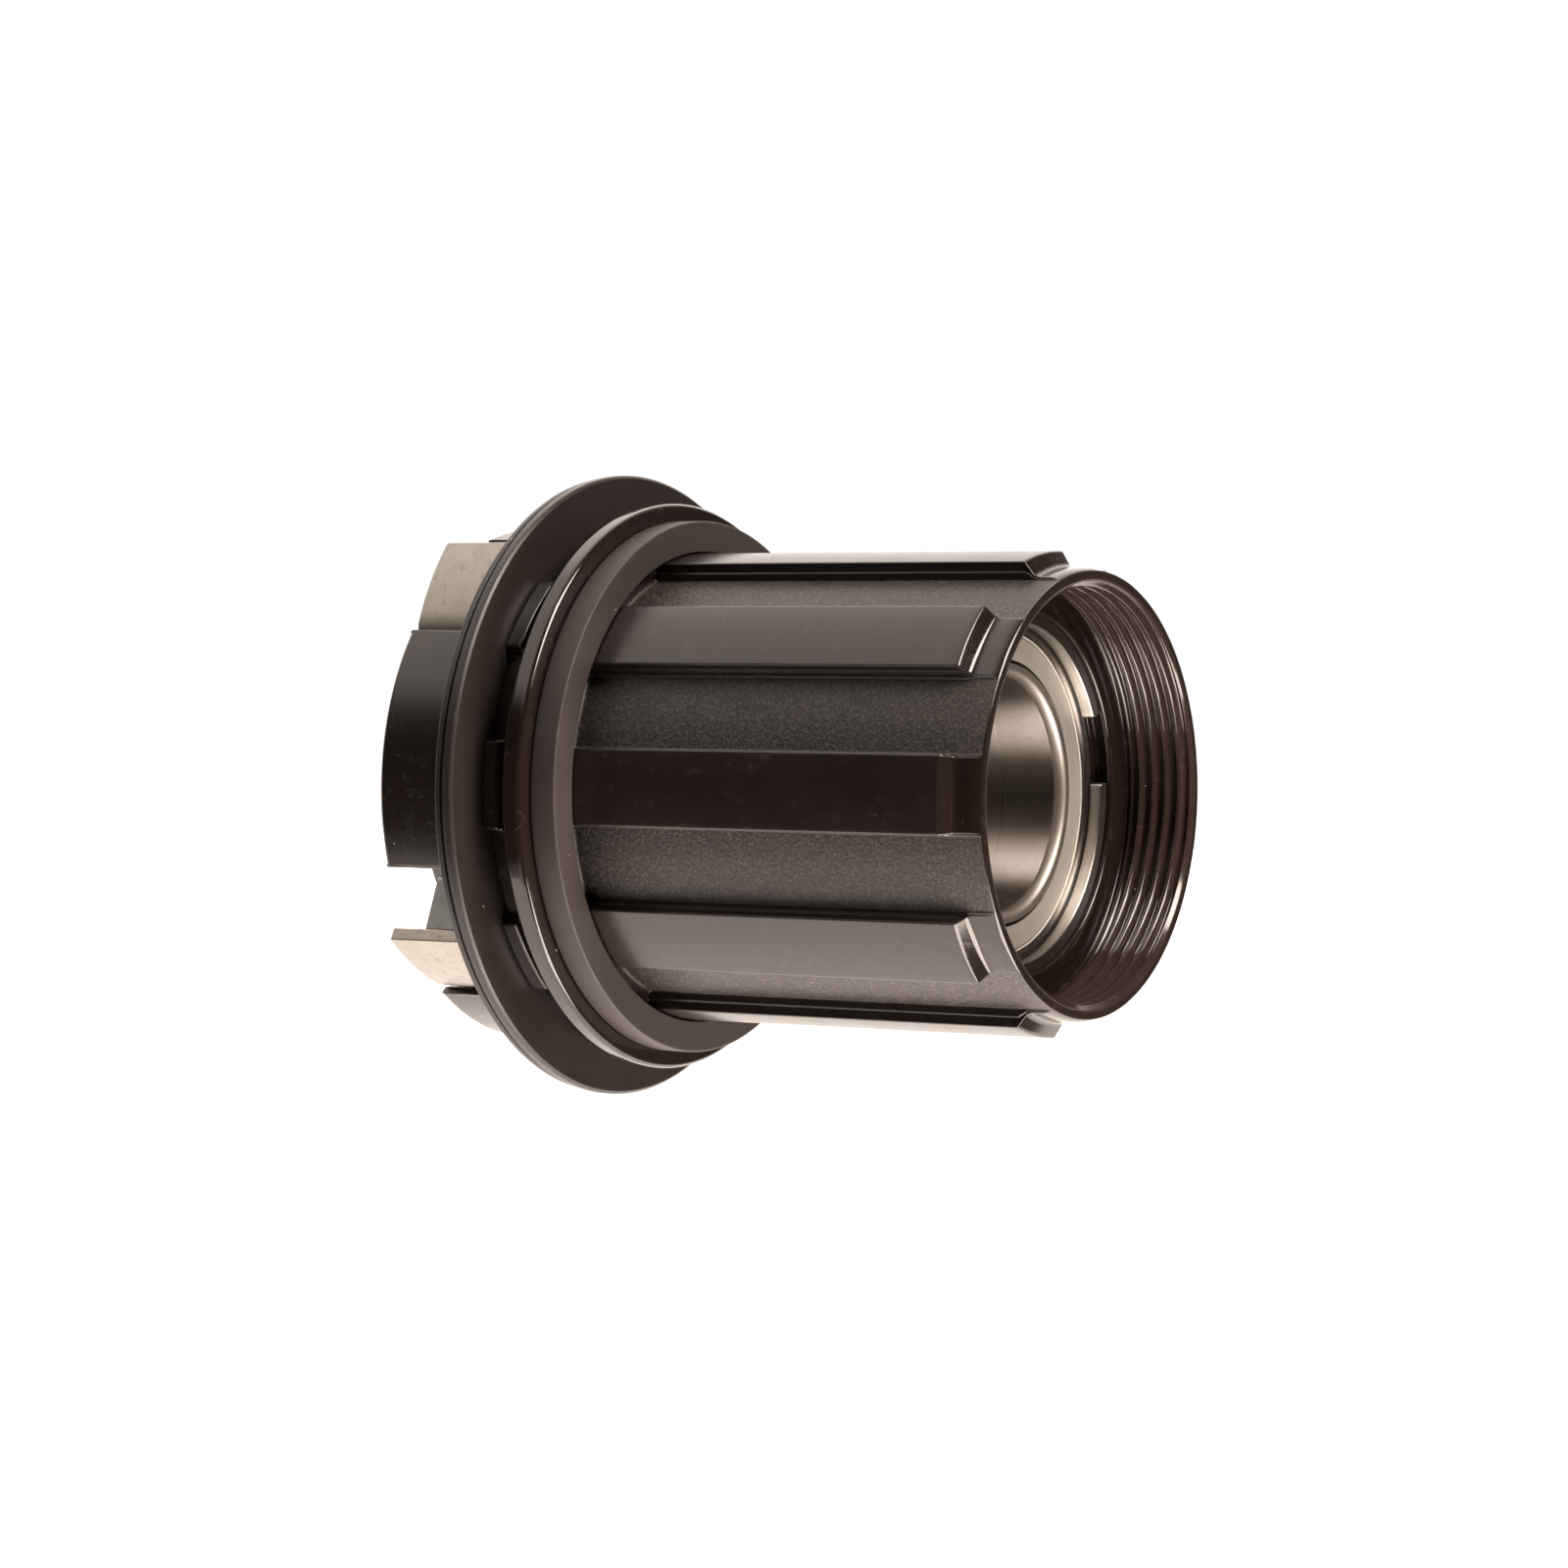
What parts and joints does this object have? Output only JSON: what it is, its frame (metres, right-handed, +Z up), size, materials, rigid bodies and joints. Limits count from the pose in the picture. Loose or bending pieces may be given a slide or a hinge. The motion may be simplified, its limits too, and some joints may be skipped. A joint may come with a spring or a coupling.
{
  "type": "bicycle cassette freehub body",
  "caption": "Splined cassette carrier with a threaded lockring mouth, sprung steel ratchet pawls, seal disc and cartridge bearings that let it overrun on an axle.",
  "frame": {"origin": "on the axle line, half way along the freehub body", "axes": "+Y along the axle towards the hub shell, the lockring mouth faces -Y, +Z up; the body drives by turning about +Y"},
  "size_m": [0.0464, 0.0486, 0.0464],
  "materials": {
    "body_alloy": "black anodised, satin lands and fine grained valleys",
    "spacer_alloy": "matt dark anodised",
    "seal_polymer": "matt moulded",
    "pawl_steel": "ground, lightly oiled",
    "spring_steel": "blue-grey spring strip",
    "circlip_steel": "bright stamped",
    "tube_steel": "turned",
    "bearing_steel": "ground and polished",
    "shield_steel": "pale pressed sheet",
    "cage_steel": "pressed sheet",
    "ball_steel": "mirror polished"
  },
  "bodies": {
    "axle_core": {"outboard_inner_ring": "bearing_steel", "inboard_inner_ring": "bearing_steel", "bearing_spacer_tube": "tube_steel"},
    "driver": {"freehub_body": "body_alloy", "cassette_spacer_ring": "spacer_alloy", "seal_disc": "seal_polymer", "retaining_circlip": "circlip_steel", "outboard_outer_ring": "bearing_steel", "outboard_mouth_shield": "shield_steel", "outboard_hub_shield": "shield_steel", "inboard_outer_ring": "bearing_steel", "inboard_mouth_shield": "shield_steel", "inboard_hub_shield": "shield_steel", "pawl_spring_1": "spring_steel", "pawl_spring_2": "spring_steel", "pawl_spring_3": "spring_steel", "pawl_spring_4": "spring_steel"},
    "pawl_one": {"pawl_1": "pawl_steel"},
    "pawl_two": {"pawl_2": "pawl_steel"},
    "pawl_three": {"pawl_3": "pawl_steel"},
    "pawl_four": {"pawl_4": "pawl_steel"},
    "outboard_ball_set": {"outboard_cage": "cage_steel", "outboard_ball_01": "ball_steel", "outboard_ball_02": "ball_steel", "outboard_ball_03": "ball_steel", "outboard_ball_04": "ball_steel", "outboard_ball_05": "ball_steel", "outboard_ball_06": "ball_steel", "outboard_ball_07": "ball_steel", "outboard_ball_08": "ball_steel", "outboard_ball_09": "ball_steel", "outboard_ball_10": "ball_steel", "outboard_ball_11": "ball_steel", "outboard_ball_12": "ball_steel", "outboard_ball_13": "ball_steel", "outboard_ball_14": "ball_steel"},
    "inboard_ball_set": {"inboard_cage": "cage_steel", "inboard_ball_01": "ball_steel", "inboard_ball_02": "ball_steel", "inboard_ball_03": "ball_steel", "inboard_ball_04": "ball_steel", "inboard_ball_05": "ball_steel", "inboard_ball_06": "ball_steel", "inboard_ball_07": "ball_steel", "inboard_ball_08": "ball_steel", "inboard_ball_09": "ball_steel", "inboard_ball_10": "ball_steel", "inboard_ball_11": "ball_steel", "inboard_ball_12": "ball_steel", "inboard_ball_13": "ball_steel", "inboard_ball_14": "ball_steel"}
  },
  "joints": [
    {"name": "driver_spin", "type": "hinge", "parent": "axle_core", "child": "driver", "pos_m": [0, 0, 0], "axis": [0, 1, 0], "continuous": true},
    {"name": "outboard_ball_set_spin", "type": "hinge", "parent": "axle_core", "child": "outboard_ball_set", "pos_m": [0, -0.0146, 0], "axis": [0, 1, 0], "continuous": true},
    {"name": "inboard_ball_set_spin", "type": "hinge", "parent": "axle_core", "child": "inboard_ball_set", "pos_m": [0, 0.0215, 0], "axis": [0, 1, 0], "continuous": true},
    {"name": "pawl_1_swing", "type": "hinge", "parent": "driver", "child": "pawl_one", "pos_m": [-0.01312, 0.02082, 0.01081], "axis": [0, 1, 0], "range_deg": [0, 21], "stiffness_Nm_per_rad": 0.02, "deforming": ["pawl_spring_1"]},
    {"name": "pawl_2_swing", "type": "hinge", "parent": "driver", "child": "pawl_two", "pos_m": [0.01081, 0.02082, 0.01312], "axis": [0, 1, 0], "range_deg": [0, 21], "stiffness_Nm_per_rad": 0.02, "deforming": ["pawl_spring_2"]},
    {"name": "pawl_3_swing", "type": "hinge", "parent": "driver", "child": "pawl_three", "pos_m": [0.01312, 0.02082, -0.01081], "axis": [0, 1, 0], "range_deg": [0, 21], "stiffness_Nm_per_rad": 0.02, "deforming": ["pawl_spring_3"]},
    {"name": "pawl_4_swing", "type": "hinge", "parent": "driver", "child": "pawl_four", "pos_m": [-0.01081, 0.02082, -0.01312], "axis": [0, 1, 0], "range_deg": [0, 21], "stiffness_Nm_per_rad": 0.02, "deforming": ["pawl_spring_4"]}
  ],
  "couplings": [
    {"joint": "outboard_ball_set_spin", "follows": "driver_spin", "ratio": 0.5646},
    {"joint": "inboard_ball_set_spin", "follows": "driver_spin", "ratio": 0.5646}
  ]
}
